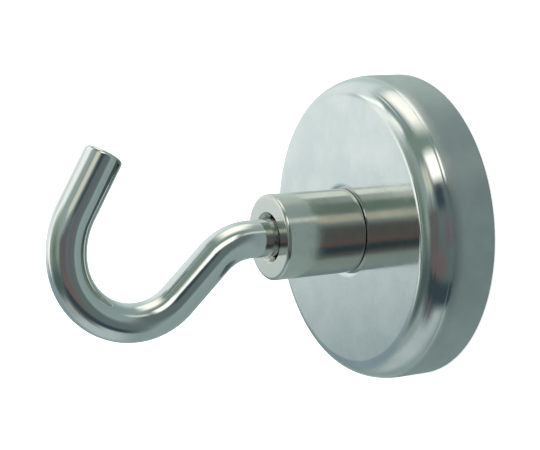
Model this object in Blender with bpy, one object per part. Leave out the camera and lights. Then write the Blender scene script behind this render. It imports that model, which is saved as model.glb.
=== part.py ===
"""Pot magnet with a screw hook: magnet face on z = 0, hook up. Sizes in millimetres."""

import math

import bmesh
import bpy

MM = 0.001

# Pot: a turned steel cup, open side down.
POT_R = 24.0
POT_H = 11.0
SHOULDER_RADIAL = 3.4
SHOULDER_AXIAL = 5.7
BACK_EDGE = 0.25
RIM_CHAMFER = 0.4
CAVITY_R = 21.2
CAVITY_H = 7.6
HOLE_R = 4.9
COUNTERBORE_R = 6.2
COUNTERBORE_H = 8.9

# Threaded bush: seat on the pot's back, neck through the hole, swaged head inside.
BUSH_R = 6.6
BUSH_TOP = 24.5
BUSH_SEAT = 11.25
BUSH_CHAMFER = 0.45
NECK_R = 4.6
HEAD_R = 5.9
HEAD_TOP = 8.6
HEAD_BOTTOM = 7.75
MOUTH_R = 3.88
NUT_MAJOR_R = 3.25
NUT_MINOR_R = 2.65
NUT_CRESTS = 11

# Screw hook: round wire, threaded shank, one bend out and a J back over the axis.
WIRE_R = 2.9
ROOT_R = 2.35
PITCH = 1.0
CREST = 0.14
SHANK_BELOW_BUSH_TOP = 10.5
FIRST_CREST = 9.6
SHANK_CRESTS = 8
SHANK_ABOVE_BUSH = 3.2
BENDS = (
    ("arc", 9.1, 42.0),
    ("line", 8.4, 0.0),
    ("arc", 9.9, -126.0),
    ("arc", 12.8, -37.0),
    ("line", 9.2, 0.0),
)
BEND_STEP = 5.5
TIP_ROUND = 0.6

# Magnet and resins, with clearances to the cup and to each other.
MAGNET_R = 18.6
MAGNET_H = 6.7
MAGNET_CHAMFER = 0.3
RING_INNER_R = 18.9
RING_OUTER_R = 20.9
RING_BOTTOM = 0.3
RING_TOP = 7.3
GLUE_R = 18.4
GLUE_BOTTOM = 6.95
GLUE_TOP = 7.35

POT_SIDES = 88
BUSH_SIDES = 40
WIRE_SIDES = 28


def clear_scene():
    for item in list(bpy.data.objects):
        bpy.data.objects.remove(item, do_unlink=True)


def material(name, colour, metallic, roughness):
    mat = bpy.data.materials.new(name)
    mat.use_nodes = True
    shader = mat.node_tree.nodes["Principled BSDF"]
    shader.inputs["Base Color"].default_value = (*colour, 1.0)
    shader.inputs["Metallic"].default_value = metallic
    shader.inputs["Roughness"].default_value = roughness
    return mat


def add_object(name, data, parent):
    obj = bpy.data.objects.new(name, data)
    bpy.context.scene.collection.objects.link(obj)
    obj.parent = parent
    return obj


def add_axis(name, height):
    axis = add_object(name, None, None)
    axis.location = (0.0, 0.0, height * MM)
    axis.empty_display_size = 0.01
    return axis


def turned(name, profile, sides, mat, parent):
    """A closed (radius, height) loop spun about Z; it runs down the outer side."""
    bm = bmesh.new()
    verts = [bm.verts.new((r * MM, 0.0, z * MM)) for r, z in profile]
    edges = []
    for first, second in zip(verts, verts[1:] + verts[:1]):
        if first.co.x > 0.0 or second.co.x > 0.0:
            edges.append(bm.edges.new((first, second)))
    bmesh.ops.spin(
        bm,
        geom=verts + edges,
        cent=(0.0, 0.0, 0.0),
        axis=(0.0, 0.0, 1.0),
        angle=2.0 * math.pi,
        steps=sides,
        use_merge=True,
    )
    bmesh.ops.remove_doubles(bm, verts=bm.verts, dist=1e-6)
    bmesh.ops.recalc_face_normals(bm, faces=bm.faces)
    mesh = bpy.data.meshes.new(name)
    bm.to_mesh(mesh)
    bm.free()
    mesh.shade_smooth()
    mesh.set_sharp_from_angle(angle=math.radians(32.0))
    mesh.materials.append(mat)
    return add_object(name, mesh, parent)


def pot_profile():
    steps = 9
    loop = [(HOLE_R, POT_H), (POT_R - SHOULDER_RADIAL - BACK_EDGE, POT_H)]
    for k in range(steps + 1):
        angle = math.radians(86.0 * (1.0 - k / steps))
        r = POT_R - SHOULDER_RADIAL * (1.0 - math.cos(angle))
        loop.append((r, POT_H - SHOULDER_AXIAL * (1.0 - math.sin(angle))))
    return loop + [
        (POT_R, RIM_CHAMFER),
        (POT_R - RIM_CHAMFER, 0.0),
        (CAVITY_R + RIM_CHAMFER / 2, 0.0),
        (CAVITY_R, RIM_CHAMFER / 2),
        (CAVITY_R, CAVITY_H),
        (COUNTERBORE_R, CAVITY_H),
        (COUNTERBORE_R, COUNTERBORE_H),
        (HOLE_R, COUNTERBORE_H),
    ]


def threads(first, count, root, crest):
    """Ridges one pitch apart, upwards, as (radius, height)."""
    points = []
    for k in range(count):
        height = first + k * PITCH
        points.append((root, height - PITCH / 2))
        points.append((crest, height - CREST / 2))
        points.append((crest, height + CREST / 2))
    points.append((root, first + (count - 0.5) * PITCH))
    return points


def bush_profile():
    lowest = BUSH_TOP - FIRST_CREST - 3.0 * PITCH
    bore = threads(lowest, NUT_CRESTS, NUT_MINOR_R, NUT_MAJOR_R)
    return [
        (MOUTH_R, BUSH_TOP),
        (BUSH_R - BUSH_CHAMFER, BUSH_TOP),
        (BUSH_R - 0.13, BUSH_TOP - 0.13),
        (BUSH_R, BUSH_TOP - BUSH_CHAMFER),
        (BUSH_R, BUSH_SEAT + 0.15),
        (BUSH_R - 0.15, BUSH_SEAT),
        (NECK_R, BUSH_SEAT),
        (NECK_R, HEAD_TOP),
        (HEAD_R, HEAD_TOP),
        (HEAD_R, HEAD_BOTTOM + 0.3),
        (HEAD_R - 0.3, HEAD_BOTTOM),
        (NUT_MAJOR_R, HEAD_BOTTOM),
        (NUT_MAJOR_R, bore[0][1] - 0.6),
        *bore,
        (NUT_MAJOR_R, bore[-1][1] + 0.6),
        (NUT_MAJOR_R, BUSH_TOP - (MOUTH_R - NUT_MAJOR_R)),
    ]


def wire_path():
    """Stations (x, z, radius) along the wire; z is from the top of the bush."""
    low = -SHANK_BELOW_BUSH_TOP
    path = [(0.0, low, ROOT_R - 0.35), (0.0, low + 0.35, ROOT_R)]
    for radius, z in threads(-FIRST_CREST, SHANK_CRESTS, ROOT_R, WIRE_R):
        path.append((0.0, z, radius))
    path.append((0.0, path[-1][1] + 0.55, WIRE_R))
    x, z, heading = 0.0, SHANK_ABOVE_BUSH, 0.0
    path.append((x, z, WIRE_R))
    for kind, size, turn in BENDS:
        steps = max(1, round(abs(turn) / BEND_STEP))
        if kind == "line":
            x -= size * math.sin(heading)
            z += size * math.cos(heading)
            path.append((x, z, WIRE_R))
            continue
        side = math.copysign(size, turn)
        centre = (x - side * math.cos(heading), z - side * math.sin(heading))
        start = heading
        for k in range(1, steps + 1):
            heading = start + math.radians(turn) * k / steps
            x = centre[0] + side * math.cos(heading)
            z = centre[1] + side * math.sin(heading)
            path.append((x, z, WIRE_R))
    return rounded_tip(path, heading)


def rounded_tip(path, heading):
    x, z, radius = path.pop()
    for k in range(5):
        angle = math.radians(85.0 * k / 4)
        back = TIP_ROUND * (1.0 - math.sin(angle))
        inset = TIP_ROUND * (1.0 - math.cos(angle))
        at_x = x + back * math.sin(heading)
        path.append((at_x, z - back * math.cos(heading), radius - inset))
    return path


def wire(name, path, mat, parent):
    curve = bpy.data.curves.new(name, "CURVE")
    curve.dimensions = "3D"
    curve.bevel_depth = WIRE_R * MM
    curve.bevel_resolution = WIRE_SIDES // 2 - 2
    curve.use_fill_caps = True
    spline = curve.splines.new("POLY")
    spline.points.add(len(path) - 1)
    for point, (x, z, radius) in zip(spline.points, path):
        point.co = (x * MM, 0.0, z * MM, 1.0)
        point.radius = radius / WIRE_R
    curve.materials.append(mat)
    return add_object(name, curve, parent)


def disc(radius, low, high, chamfer):
    return [
        (0.0, high),
        (radius - chamfer, high),
        (radius, high - chamfer),
        (radius, low + chamfer),
        (radius - chamfer, low),
        (0.0, low),
    ]


def build():
    clear_scene()
    nickel = (0.60, 0.61, 0.59)
    pot_mat = material("nickel_pot", nickel, 1.0, 0.28)
    bush_mat = material("nickel_bush", nickel, 1.0, 0.26)
    hook_mat = material("nickel_hook", (0.64, 0.65, 0.63), 1.0, 0.12)
    magnet_mat = material("nickel_magnet", (0.55, 0.55, 0.53), 1.0, 0.22)
    resin_mat = material("dark_resin", (0.05, 0.05, 0.055), 0.0, 0.45)
    glue_mat = material("pale_glue", (0.46, 0.42, 0.31), 0.0, 0.55)

    base = add_axis("magnet_face_centre", 0.0)
    turn_axis = add_axis("hook_turn_axis", BUSH_TOP)
    turned("pot_cup", pot_profile(), POT_SIDES, pot_mat, base)
    turned("threaded_bush", bush_profile(), BUSH_SIDES, bush_mat, base)
    magnet = disc(MAGNET_R, 0.0, MAGNET_H, MAGNET_CHAMFER)
    turned("magnet_disc", magnet, 64, magnet_mat, base)
    ring = [
        (RING_INNER_R, RING_TOP),
        (RING_OUTER_R, RING_TOP),
        (RING_OUTER_R, RING_BOTTOM),
        (RING_INNER_R, RING_BOTTOM),
    ]
    turned("potting_ring", ring, 64, resin_mat, base)
    turned("glue_layer", disc(GLUE_R, GLUE_BOTTOM, GLUE_TOP, 0.1), 64, glue_mat, base)
    wire("screw_hook", wire_path(), hook_mat, turn_axis)


build()
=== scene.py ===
"""Looks of a nickel-plated pot magnet with a screw hook. Metres; sizes below in millimetres."""

import math

import bmesh
import bpy
from mathutils import Euler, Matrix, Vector


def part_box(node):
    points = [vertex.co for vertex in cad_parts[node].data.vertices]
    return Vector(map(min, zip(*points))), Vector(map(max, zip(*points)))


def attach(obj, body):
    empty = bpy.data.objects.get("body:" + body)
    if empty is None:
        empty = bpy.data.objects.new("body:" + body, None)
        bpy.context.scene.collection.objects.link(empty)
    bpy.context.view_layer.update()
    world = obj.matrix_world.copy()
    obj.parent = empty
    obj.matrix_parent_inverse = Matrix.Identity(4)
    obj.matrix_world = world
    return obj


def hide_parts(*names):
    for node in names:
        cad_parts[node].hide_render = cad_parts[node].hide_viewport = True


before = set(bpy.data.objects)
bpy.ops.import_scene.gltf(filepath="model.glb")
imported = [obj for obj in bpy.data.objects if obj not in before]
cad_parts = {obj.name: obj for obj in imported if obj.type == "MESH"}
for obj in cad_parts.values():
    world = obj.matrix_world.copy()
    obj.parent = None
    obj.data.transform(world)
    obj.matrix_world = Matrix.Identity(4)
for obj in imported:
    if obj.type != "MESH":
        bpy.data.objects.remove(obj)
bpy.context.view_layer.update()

MM = 0.001

# Fillets: extra points this far beside each one keep the flats flat, and a fillet takes at most
# this share of a side.
FILLET_SUPPORT = 0.06
FILLET_SHARE = 0.45

# Pot, as in the CAD: shoulder, side wall, cavity and bush hole.
SHOULDER_RADIAL = 3.4
SHOULDER_AXIAL = 5.7
SHOULDER_TURN = 84.0
SHOULDER_STEPS = 84
BACK_RINGS = 6
BACK_SUPPORT = 0.08
WALL_RING = 3.0
CAVITY_R = 21.2
CAVITY_H = 7.6
HOLE_R = 4.9
COUNTERBORE_R = 6.2
COUNTERBORE_H = 8.9
POT_SIDES = 256

# Faint turned lines on the shoulder: where they are and how wide, in degrees round its arc.
SHOULDER_LINES = (51.0, 22.5)
LINE_DEPTH = 0.022
LINE_WIDTH = 1.6

# Bush.
BUSH_TOP = 24.5
NECK_R = 4.6
HEAD_R = 5.9
HEAD_TOP = 8.6
HEAD_BOTTOM = 7.75
MOUTH_R = 3.88
NUT_MAJOR_R = 3.2
NUT_MINOR_R = 2.55
RUN_OUT_R = 3.02
RUN_OUT_BELOW_TOP = 2.3
NUT_CRESTS = 13
CONE_SLOPE = 0.7
BORE_STOP = 0.06
SEAT_GAP = 0.02
BUSH_SIDES = 192

# Hook.
WIRE_R = 2.9
ROOT_R = 2.35
PITCH = 1.0
RINGS_A_TURN = 10
SHANK_BELOW_BUSH_TOP = 10.5
FIRST_CREST = 9.6
SHANK_CRESTS = 8
SHANK_ABOVE_BUSH = 3.2
BENDS = (
    ("arc", 9.1, 42.0),
    ("line", 8.4, 0.0),
    ("arc", 9.9, -126.0),
    ("arc", 12.8, -37.0),
    ("line", 9.2, 0.0),
)
BEND_STEP = 1.5
STRAIGHT_RINGS = 6
TIP_ROUND = 0.6
TIP_RINGS = 8
WIRE_SIDES = 96

# Cast resin round the magnet.
RESIN_INNER_R = 18.9
RESIN_SAG = 0.16
RESIN_STEPS = 12

# Camera: where it stands, which way it looks, and its roll, in millimetres and degrees.
CAMERA_AT = (19.45, -169.2, 113.95)
LOOK_AZIMUTH = 97.3
LOOK_DOWN = 27.74
ROLL = 95.84
LENS = 84.35
SHIFT_Y = 0.05

# Studio, in metres and watts: a floor just below the magnet's face and one soft lamp overhead.
FLOOR_HALF = 3.0
FLOOR_DROP = 0.00002
LAMP_AT = (0.05, 0.0, 0.75)
LAMP_ACROSS = 0.9
LAMP_WATTS = 6.0


# ---------------------------------------------------------------- meshes


def rounded(corners, segments=5):
    """A closed (radius, height, fillet) loop with its corners rounded and its flats supported."""
    out = []
    count = len(corners)
    for n, (r, z, fillet) in enumerate(corners):
        here = Vector((r, z))
        before = Vector(corners[n - 1][:2]) - here
        after = Vector(corners[(n + 1) % count][:2]) - here
        if fillet == 0.0:
            out.append((r, z))
            continue
        a, b = before.normalized(), after.normalized()
        half = a.angle(b) / 2
        side = min(before.length, after.length)
        back = min(fillet / math.tan(half), FILLET_SHARE * side)
        start, end = here + a * back, here + b * back
        support = min(FILLET_SUPPORT, back)
        out.append(tuple(start + a * support))
        for k in range(segments + 1):
            t = k / segments
            point = start * (1 - t) ** 2 + here * 2 * t * (1 - t) + end * t**2
            out.append(tuple(point))
        out.append(tuple(end + b * support))
    return out


def mesh_object(name, bm, mat):
    bmesh.ops.recalc_face_normals(bm, faces=bm.faces)
    mesh = bpy.data.meshes.new(name)
    bm.to_mesh(mesh)
    bm.free()
    mesh.shade_smooth()
    mesh.materials.append(mat)
    obj = bpy.data.objects.new(name, mesh)
    bpy.context.scene.collection.objects.link(obj)
    return obj


def turned(name, profile, sides, mat):
    """A closed (radius, height) loop spun about Z."""
    bm = bmesh.new()
    verts = [bm.verts.new((r * MM, 0.0, z * MM)) for r, z in profile]
    edges = []
    for first, second in zip(verts, verts[1:] + verts[:1]):
        if first.co.x > 0.0 or second.co.x > 0.0:
            edges.append(bm.edges.new((first, second)))
    bmesh.ops.spin(
        bm,
        geom=verts + edges,
        cent=(0.0, 0.0, 0.0),
        axis=(0.0, 0.0, 1.0),
        angle=2.0 * math.pi,
        steps=sides,
        use_merge=True,
    )
    bmesh.ops.remove_doubles(bm, verts=bm.verts, dist=1e-7)
    return mesh_object(name, bm, mat)


def pot_profile(radius, height):
    """The cup, with faint turned lines across its shoulder."""
    flat_r = radius - SHOULDER_RADIAL
    loop = [(HOLE_R + (flat_r - HOLE_R) * n / BACK_RINGS, height) for n in range(BACK_RINGS)]
    loop += [(flat_r - BACK_SUPPORT, height), (flat_r, height)]
    for k in range(SHOULDER_STEPS + 1):
        angle = SHOULDER_TURN * (1.0 - k / SHOULDER_STEPS)
        dip = 0.0
        for line in SHOULDER_LINES:
            dip += LINE_DEPTH * math.exp(-(((angle - line) / LINE_WIDTH) ** 2))
        turn = math.radians(angle)
        r = radius - SHOULDER_RADIAL * (1.0 - math.cos(turn)) - dip * math.cos(turn)
        z = height - SHOULDER_AXIAL * (1.0 - math.sin(turn)) - dip * math.sin(turn)
        loop.append((r, z))
    corners = [
        (HOLE_R, height, 0.0),
        (radius, WALL_RING, 0.0),
        (radius, 0.0, 0.35),
        (CAVITY_R, 0.0, 0.15),
        (CAVITY_R, CAVITY_H, 0.2),
        (COUNTERBORE_R, CAVITY_H, 0.1),
        (COUNTERBORE_R, COUNTERBORE_H, 0.1),
        (HOLE_R, COUNTERBORE_H, 0.1),
    ]
    return loop + rounded(corners)[1:]


def threads(first, count, root, crest):
    """Rounded ridges one pitch apart, upwards, as (radius, height)."""
    points = []
    for k in range(count * RINGS_A_TURN + 1):
        phase = k / RINGS_A_TURN
        wave = 0.5 - 0.5 * math.cos(2.0 * math.pi * phase)
        sharp = min(1.0, max(0.0, wave * 1.3 - 0.15))
        points.append((root + (crest - root) * sharp, first + (phase - 0.5) * PITCH))
    return points


def bore_profile():
    """The tapped bore, upwards; near the mouth a cone cuts its ridges away."""
    out = []
    lowest = BUSH_TOP - FIRST_CREST - 3.0 * PITCH
    for radius, z in threads(lowest, NUT_CRESTS, NUT_MINOR_R, NUT_MAJOR_R):
        depth = BUSH_TOP - z
        if depth < BORE_STOP:
            break
        if depth < RUN_OUT_BELOW_TOP:
            radius = max(radius, RUN_OUT_R)
        out.append((max(radius, MOUTH_R - CONE_SLOPE * depth), z))
    return out


def bush_profile(radius, seat):
    bore = bore_profile()
    outside = [
        (MOUTH_R, BUSH_TOP, 0.05),
        (radius, BUSH_TOP, 0.5),
        (radius, seat, 0.1),
        (NECK_R, seat, 0.1),
        (NECK_R, HEAD_TOP, 0.1),
        (HEAD_R, HEAD_TOP, 0.1),
        (HEAD_R, HEAD_BOTTOM, 0.3),
        (NUT_MAJOR_R, HEAD_BOTTOM, 0.05),
        (NUT_MAJOR_R, bore[0][1] - 0.5, 0.0),
    ]
    return rounded(outside) + bore


def wire_path():
    """Stations (x, z, heading, radius) along the wire, in millimetres."""
    low = BUSH_TOP - SHANK_BELOW_BUSH_TOP
    path = [(0.0, low, 0.0, 0.0), (0.0, low, 0.0, ROOT_R - 0.4)]
    path += [(0.0, low + 0.1, 0.0, ROOT_R - 0.3), (0.0, low + 0.4, 0.0, ROOT_R)]
    for radius, z in threads(BUSH_TOP - FIRST_CREST, SHANK_CRESTS, ROOT_R, WIRE_R):
        path.append((0.0, z, 0.0, radius))
    path.append((0.0, path[-1][1] + 0.3, 0.0, ROOT_R + 0.2))
    path.append((0.0, path[-1][1] + 0.3, 0.0, WIRE_R))
    x, z, heading = 0.0, BUSH_TOP + SHANK_ABOVE_BUSH, 0.0
    for k in range(4):
        path.append((x, BUSH_TOP + SHANK_ABOVE_BUSH * k / 3, heading, WIRE_R))
    for kind, size, turn in BENDS:
        if kind == "line":
            for k in range(1, STRAIGHT_RINGS + 1):
                along = size * k / STRAIGHT_RINGS
                at = (x - along * math.sin(heading), z + along * math.cos(heading))
                path.append((at[0], at[1], heading, WIRE_R))
            x, z = at
            continue
        side = math.copysign(size, turn)
        centre = (x - side * math.cos(heading), z - side * math.sin(heading))
        steps = round(abs(turn) / BEND_STEP)
        start = heading
        for k in range(1, steps + 1):
            heading = start + math.radians(turn) * k / steps
            x = centre[0] + side * math.cos(heading)
            z = centre[1] + side * math.sin(heading)
            path.append((x, z, heading, WIRE_R))
    return path + tip(path.pop())


def tip(end):
    """Stations of the cut end: a rounded rim, then the flat face."""
    x, z, heading, radius = end
    sizes = [(-TIP_ROUND - 0.2, 0.0)]
    for k in range(TIP_RINGS + 1):
        angle = math.radians(90.0 * k / TIP_RINGS)
        inset = TIP_ROUND * (1.0 - math.cos(angle))
        sizes.append((TIP_ROUND * math.sin(angle) - TIP_ROUND, inset))
    sizes += [(0.0, TIP_ROUND + 0.15), (0.0, radius * 0.5), (0.0, radius)]
    out = []
    for along, inset in sizes:
        at_x = x - along * math.sin(heading)
        out.append((at_x, z + along * math.cos(heading), heading, radius - inset))
    return out


def wire(name, path, sides, mat):
    """Rings across the path, joined; a ring of no radius is one point."""
    bm = bmesh.new()
    rings = []
    for x, z, heading, radius in path:
        if radius < 1e-6:
            rings.append([bm.verts.new((x * MM, 0.0, z * MM))] * sides)
            continue
        ring = []
        for k in range(sides):
            angle = 2.0 * math.pi * k / sides
            across = radius * math.cos(angle)
            px = x + across * math.cos(heading)
            pz = z + across * math.sin(heading)
            ring.append(bm.verts.new((px * MM, radius * math.sin(angle) * MM, pz * MM)))
        rings.append(ring)
    for low, high in zip(rings, rings[1:]):
        for k in range(sides):
            j = (k + 1) % sides
            loop = [low[k], low[j], high[j], high[k]]
            face = [v for n, v in enumerate(loop) if v is not loop[n - 1]]
            bm.faces.new(face)
    return mesh_object(name, bm, mat)


def magnet_profile(radius, height):
    corners = [
        (0.0, height, 0.0),
        (radius, height, 0.3),
        (radius, 0.0, 0.3),
        (0.0, 0.0, 0.0),
    ]
    return rounded(corners)


def resin_profile(inner, outer, low, high):
    """A cast ring; its open face sags a little between the two metals."""
    loop = [(inner, high), (outer, high)]
    for k in range(RESIN_STEPS + 1):
        across = k / RESIN_STEPS
        sag = RESIN_SAG * math.sin(math.pi * across)
        loop.append((outer + (inner - outer) * across, low + sag))
    return loop


# ------------------------------------------------------------- materials

# Sockets of a Mix node that mixes colours.
MIX_FACTOR = 0
MIX_A = 6
MIX_B = 7
MIX_RESULT = 2


class Nodes:
    """Helpers that add linked nodes to a tree."""

    def __init__(self, tree):
        self.tree = tree

    def node(self, kind):
        return self.tree.nodes.new(kind)

    def put(self, value, socket):
        """Link a socket's value, or set a plain one."""
        if isinstance(value, bpy.types.NodeSocket):
            self.tree.links.new(value, socket)
        else:
            socket.default_value = value

    def maths(self, operation, *values):
        node = self.node("ShaderNodeMath")
        node.operation = operation
        for socket, value in zip(node.inputs, values):
            self.put(value, socket)
        return node.outputs[0]

    def ranged(self, value, low, high, to_low, to_high):
        node = self.node("ShaderNodeMapRange")
        node.interpolation_type = "SMOOTHSTEP"
        self.put(value, node.inputs["Value"])
        self.put(low, node.inputs["From Min"])
        self.put(high, node.inputs["From Max"])
        self.put(to_low, node.inputs["To Min"])
        self.put(to_high, node.inputs["To Max"])
        return node.outputs["Result"]

    def mixed(self, factor, first, second):
        """A mix of two colours, each a socket or a plain (red, green, blue)."""
        node = self.node("ShaderNodeMix")
        node.data_type = "RGBA"
        self.put(factor, node.inputs[MIX_FACTOR])
        for value, place in ((first, MIX_A), (second, MIX_B)):
            self.put((*value, 1.0) if isinstance(value, tuple) else value, node.inputs[place])
        return node.outputs[MIX_RESULT]


class Shader(Nodes):
    """One procedural material on a Principled BSDF."""

    def __init__(self, name, metallic=0.0):
        self.mat = bpy.data.materials.new(name)
        self.mat.use_nodes = True
        super().__init__(self.mat.node_tree)
        self.bsdf = self.tree.nodes["Principled BSDF"]
        self.bsdf.inputs["Metallic"].default_value = metallic
        self.where = self.node("ShaderNodeTexCoord").outputs["Object"]

    def finish(self, colour, roughness, normal=None):
        self.put(colour, self.bsdf.inputs["Base Color"])
        self.put(roughness, self.bsdf.inputs["Roughness"])
        if normal is not None:
            self.put(normal, self.bsdf.inputs["Normal"])
        return self.mat

    def stretched(self, scale):
        node = self.node("ShaderNodeMapping")
        self.put(scale, node.inputs["Scale"])
        self.put(self.where, node.inputs["Vector"])
        return node.outputs["Vector"]

    def noise(self, scale, detail=3.0, rough=0.5, vector=None):
        node = self.node("ShaderNodeTexNoise")
        self.put(scale, node.inputs["Scale"])
        self.put(detail, node.inputs["Detail"])
        self.put(rough, node.inputs["Roughness"])
        self.put(vector or self.where, node.inputs["Vector"])
        return node.outputs["Fac"]

    def position(self):
        node = self.node("ShaderNodeSeparateXYZ")
        self.put(self.where, node.inputs[0])
        return node.outputs

    def turned_position(self):
        """Radius and height as a vector: what varies with it runs in rings round Z."""
        x, y, z = self.position()
        across = self.maths("ADD", self.maths("MULTIPLY", x, x), self.maths("MULTIPLY", y, y))
        node = self.node("ShaderNodeCombineXYZ")
        self.put(self.maths("SQRT", across), node.inputs["X"])
        self.put(z, node.inputs["Z"])
        return node.outputs[0]

    def bump(self, value, distance, strength=1.0, under=None):
        node = self.node("ShaderNodeBump")
        self.put(distance, node.inputs["Distance"])
        self.put(strength, node.inputs["Strength"])
        self.put(value, node.inputs["Height"])
        if under is not None:
            self.put(under, node.inputs["Normal"])
        return node.outputs["Normal"]


def pot_nickel():
    """Bright on the back and shoulder, satin on the side wall, darker there partly as painted
    shade; small pits.
    """
    s = Shader("pot_nickel", 1.0)
    cloud = s.ranged(s.noise(150.0, 5.0, 0.6), 0.3, 0.7, 0.0, 1.0)
    bright = s.mixed(cloud, (0.60, 0.62, 0.61), (0.68, 0.69, 0.67))
    # The side wall's darker colour: partly its satin plate, partly painted shade.
    dull_and_shaded = s.mixed(cloud, (0.45, 0.47, 0.46), (0.51, 0.53, 0.52))
    wall = s.ranged(s.position()["Z"], 0.0067, 0.0074, 1.0, 0.0)
    satin = s.maths("MULTIPLY", wall, 0.24)
    grain = s.ranged(s.noise(500.0, 3.0), 0.3, 0.7, 0.07, 0.13)
    wave = s.bump(s.noise(420.0, 3.0), 0.00001, 0.6)
    pits = s.ranged(s.noise(1100.0, 2.0), 0.71, 0.78, 0.0, -1.0)
    pitted = s.bump(pits, 0.00001, 0.6, wave)
    fine = s.bump(s.noise(2600.0, 3.0, 0.6), 0.000004, 0.5, pitted)
    return s.finish(s.mixed(wall, bright, dull_and_shaded), s.maths("ADD", satin, grain), fine)


def bush_nickel():
    """Semi-satin, with the fine rings of a lathe tool."""
    s = Shader("bush_nickel", 1.0)
    colour = s.mixed(s.noise(180.0, 4.0), (0.58, 0.585, 0.54), (0.64, 0.64, 0.59))
    roughness = s.ranged(s.noise(700.0, 3.0), 0.3, 0.7, 0.13, 0.19)
    rings = s.noise(4200.0, 3.0, 0.6, s.turned_position())
    return s.finish(colour, roughness, s.bump(rings, 0.000006, 0.6))


def hook_nickel():
    """Polished, over a slightly wavy wire."""
    s = Shader("hook_nickel", 1.0)
    colour = s.mixed(s.noise(160.0, 3.0), (0.64, 0.65, 0.64), (0.70, 0.71, 0.69))
    roughness = s.ranged(s.noise(500.0, 4.0), 0.3, 0.7, 0.05, 0.09)
    wave = s.bump(s.noise(260.0, 2.0), 0.00003, 0.5)
    fine = s.bump(s.noise(2400.0, 3.0, 0.6), 0.000004, 0.5, wave)
    return s.finish(colour, roughness, fine)


def magnet_nickel():
    """Plate with fine scratches along X."""
    s = Shader("magnet_nickel", 1.0)
    colour = s.mixed(s.noise(120.0, 4.0), (0.55, 0.56, 0.54), (0.62, 0.62, 0.60))
    scratches = s.noise(1.0, 4.0, 0.7, s.stretched((90.0, 2600.0, 90.0)))
    roughness = s.ranged(scratches, 0.35, 0.7, 0.16, 0.34)
    return s.finish(colour, roughness, s.bump(scratches, 0.00001, 0.5))


def resin():
    s = Shader("cast_resin")
    cloud = s.noise(300.0, 4.0)
    colour = s.mixed(cloud, (0.035, 0.036, 0.04), (0.06, 0.06, 0.065))
    roughness = s.ranged(cloud, 0.3, 0.7, 0.28, 0.45)
    return s.finish(colour, roughness, s.bump(s.noise(900.0, 3.0), 0.00004, 0.6))


def glue():
    s = Shader("cured_glue")
    cloud = s.noise(250.0, 3.0)
    colour = s.mixed(cloud, (0.40, 0.36, 0.26), (0.52, 0.48, 0.36))
    roughness = s.ranged(cloud, 0.3, 0.7, 0.4, 0.6)
    return s.finish(colour, roughness, s.bump(cloud, 0.00005, 0.5))


def floor_material():
    """Pale and a little luminous, so that it stays white to its edge."""
    s = Shader("pale_floor")
    s.bsdf.inputs["Emission Strength"].default_value = 0.55
    s.bsdf.inputs["Emission Color"].default_value = (0.95, 0.95, 0.95, 1.0)
    colour = s.mixed(s.noise(3.0, 3.0), (0.86, 0.86, 0.86), (0.89, 0.89, 0.89))
    return s.finish(colour, 0.9)


# ----------------------------------------------------------------- pieces


def size_of(node):
    """A CAD node's lowest and highest corners, in millimetres."""
    low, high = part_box(node)
    return low / MM, high / MM


def build_pieces():
    top = size_of("pot_cup")[1]
    pot = turned("pot_body", pot_profile(top.x, top.z), POT_SIDES, pot_nickel())
    bush_r = size_of("threaded_bush")[1].x
    bush = turned("bush", bush_profile(bush_r, top.z + SEAT_GAP), BUSH_SIDES, bush_nickel())
    top = size_of("magnet_disc")[1]
    magnet = turned("magnet", magnet_profile(top.x, top.z), POT_SIDES, magnet_nickel())
    low, high = size_of("potting_ring")
    ring = resin_profile(RESIN_INNER_R, high.x, low.z, high.z)
    potting = turned("potting", ring, POT_SIDES, resin())
    hook = wire("hook", wire_path(), WIRE_SIDES, hook_nickel())
    stands = (
        (pot, "pot_cup", "pot", "satin_nickel"),
        (bush, "threaded_bush", "pot", "bush_nickel"),
        (magnet, "magnet_disc", "pot", "magnet_nickel"),
        (potting, "potting_ring", "pot", "potting_resin"),
        (hook, "screw_hook", "hook", "polished_nickel"),
    )
    for piece, node, body, slot in stands:
        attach(piece, body)
        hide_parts(node)
    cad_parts["glue_layer"].material_slots[0].material = glue()


# ----------------------------------------------------------------- studio

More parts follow.
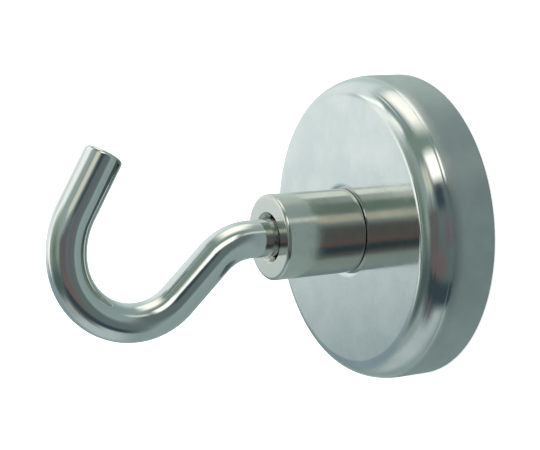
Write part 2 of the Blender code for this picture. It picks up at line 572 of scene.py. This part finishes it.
# Surroundings for the metal to reflect, painted in order over a vertical ramp. Each zone: azimuth
# centre, half width and edge softness, then the same for elevation, in degrees, then colour. The
# values are a rounded draft that a fitting script, run on the photo, had helped to shape. The names
# were given afterwards: what really stood round the object isn't known.
ZONES = (
    (-180.0, 40.0, 15.0, 10.0, 20.0, 10.0, (0.55, 0.65, 0.65)),  # pale wall on the left
    (-115.0, 45.0, 10.0, 35.0, 25.0, 10.0, (0.15, 0.15, 0.15)),  # dark upper front
    (-85.0, 45.0, 10.0, 0.0, 25.0, 5.0, (0.15, 0.20, 0.20)),  # dark lower front
    (-115.0, 10.0, 10.0, 25.0, 20.0, 10.0, (0.20, 0.15, 0.15)),  # brown patch in it
    (-90.0, 10.0, 5.0, 0.0, 5.0, 5.0, (0.20, 0.15, 0.20)),  # pink patch in it
    (-135.0, 10.0, 5.0, 15.0, 35.0, 10.0, (0.05, 0.08, 0.10)),  # darkest corner
    (-175.0, 60.0, 30.0, 65.0, 15.0, 10.0, (0.10, 0.15, 0.15)),  # dim ceiling
    (-65.0, 10.0, 5.0, 10.0, 10.0, 5.0, (0.05, 0.08, 0.10)),  # dark post by the window
    (-20.0, 15.0, 5.0, 15.0, 30.0, 5.0, (0.25, 0.35, 0.30)),  # wall between the windows
    (-45.0, 10.0, 5.0, 5.0, 15.0, 5.0, (1.80, 1.80, 1.65)),  # narrow window
    (-50.0, 10.0, 5.0, 35.0, 10.0, 5.0, (0.85, 0.85, 0.70)),  # its shaded upper pane
    (-45.0, 5.0, 5.0, -25.0, 10.0, 5.0, (0.85, 0.90, 0.85)),  # light on the floor below it
    (5.0, 20.0, 10.0, -5.0, 15.0, 10.0, (1.55, 1.55, 1.40)),  # wide window
    (15.0, 10.0, 5.0, -15.0, 10.0, 5.0, (1.50, 1.50, 1.40)),  # its sill
    (45.0, 35.0, 15.0, 45.0, 10.0, 10.0, (1.25, 1.30, 1.25)),  # lit ceiling on the right
    (40.0, 15.0, 5.0, 30.0, 5.0, 5.0, (1.95, 2.00, 1.90)),  # long lamp
    (10.0, 10.0, 5.0, 40.0, 5.0, 5.0, (1.40, 1.45, 1.35)),  # short lamp
    (65.0, 35.0, 10.0, 5.0, 25.0, 10.0, (0.95, 1.05, 1.05)),  # white wall on the right
    (85.0, 15.0, 10.0, 35.0, 15.0, 5.0, (1.00, 1.10, 1.10)),  # its upper part
    (95.0, 20.0, 10.0, 50.0, 5.0, 5.0, (1.60, 1.60, 1.50)),  # lit strip at the back
    (125.0, 20.0, 15.0, 30.0, 20.0, 10.0, (0.30, 0.40, 0.45)),  # dim back corner
    (60.0, 40.0, 25.0, -30.0, 15.0, 15.0, (0.65, 0.80, 0.75)),  # pale table top
)
RAMP = (
    (-90.0, (0.15, 0.20, 0.20)),
    (-60.0, (0.30, 0.40, 0.40)),
    (-30.0, (0.35, 0.45, 0.45)),
    (15.0, (0.25, 0.35, 0.35)),
    (45.0, (0.40, 0.50, 0.50)),
    (65.0, (0.35, 0.45, 0.40)),
    (90.0, (0.15, 0.20, 0.15)),
)
BACKDROP = (1.0, 1.0, 1.0)


def zone_mask(paint, azimuth, elevation, zone):
    az, az_half, az_soft, el, el_half, el_soft = zone[:6]
    turn = paint.maths("WRAP", paint.maths("SUBTRACT", azimuth, az), 180.0, -180.0)
    turn = paint.maths("ABSOLUTE", turn)
    rise = paint.maths("ABSOLUTE", paint.maths("SUBTRACT", elevation, el))
    across = paint.ranged(turn, az_half - az_soft, az_half + az_soft, 1.0, 0.0)
    upright = paint.ranged(rise, el_half - el_soft, el_half + el_soft, 1.0, 0.0)
    return paint.maths("MULTIPLY", across, upright)


def painted_ramp(paint, elevation):
    ramp = paint.node("ShaderNodeValToRGB")
    paint.put(paint.maths("MULTIPLY_ADD", elevation, 1 / 180, 0.5), ramp.inputs[0])
    stops = ramp.color_ramp.elements
    for n, (angle, colour) in enumerate(RAMP):
        stop = stops[n] if n < 2 else stops.new(angle / 180 + 0.5)
        stop.position = angle / 180 + 0.5
        stop.color = (*colour, 1.0)
    return ramp.outputs["Color"]


def build_world():
    """The painted room, which reflections see; the camera sees a plain backdrop."""
    world = bpy.data.worlds.new("soft_studio")
    bpy.context.scene.world = world
    world.use_nodes = True
    world.node_tree.nodes.clear()
    paint = Nodes(world.node_tree)
    where = paint.node("ShaderNodeSeparateXYZ")
    paint.put(paint.node("ShaderNodeTexCoord").outputs["Generated"], where.inputs[0])
    x, y, z = where.outputs
    azimuth = paint.maths("DEGREES", paint.maths("ARCTAN2", y, x))
    elevation = paint.maths("DEGREES", paint.maths("ARCSINE", z))
    colour = painted_ramp(paint, elevation)
    for zone in ZONES:
        colour = paint.mixed(zone_mask(paint, azimuth, elevation, zone), colour, zone[6])
    seen = paint.node("ShaderNodeLightPath").outputs["Is Camera Ray"]
    light = paint.node("ShaderNodeBackground")
    paint.put(paint.mixed(seen, colour, BACKDROP), light.inputs["Color"])
    out = paint.node("ShaderNodeOutputWorld")
    paint.put(light.outputs[0], out.inputs["Surface"])


def build_floor():
    bm = bmesh.new()
    bmesh.ops.create_grid(bm, x_segments=8, y_segments=8, size=FLOOR_HALF)
    floor = mesh_object("floor", bm, floor_material())
    floor.location.z = -FLOOR_DROP
    floor.visible_glossy = False


def build_lamp():
    data = bpy.data.lights.new("overhead", "AREA")
    data.shape = "DISK"
    data.size = LAMP_ACROSS
    data.energy = LAMP_WATTS
    lamp = bpy.data.objects.new("overhead", data)
    lamp.location = LAMP_AT
    lamp.rotation_euler = (-Vector(LAMP_AT)).to_track_quat("-Z", "Y").to_euler()
    lamp.visible_glossy = False
    bpy.context.scene.collection.objects.link(lamp)


def build_camera():
    data = bpy.data.cameras.new("camera")
    data.sensor_width = 36.0
    data.lens = LENS
    data.shift_y = SHIFT_Y
    data.clip_start = 0.005
    camera = bpy.data.objects.new("camera", data)
    camera.location = Vector(CAMERA_AT) * MM
    down, turn = math.radians(LOOK_DOWN), math.radians(LOOK_AZIMUTH)
    level = Vector((math.cos(turn), math.sin(turn), 0.0))
    ahead = level * math.cos(down) - Vector((0.0, 0.0, math.sin(down)))
    roll = Euler((0.0, 0.0, math.radians(-ROLL))).to_quaternion()
    camera.rotation_mode = "QUATERNION"
    camera.rotation_quaternion = ahead.to_track_quat("-Z", "Y") @ roll
    bpy.context.scene.collection.objects.link(camera)
    bpy.context.scene.camera = camera


build_camera()
build_pieces()
build_world()
build_floor()
build_lamp()
bpy.context.scene.view_settings.view_transform = "Standard"
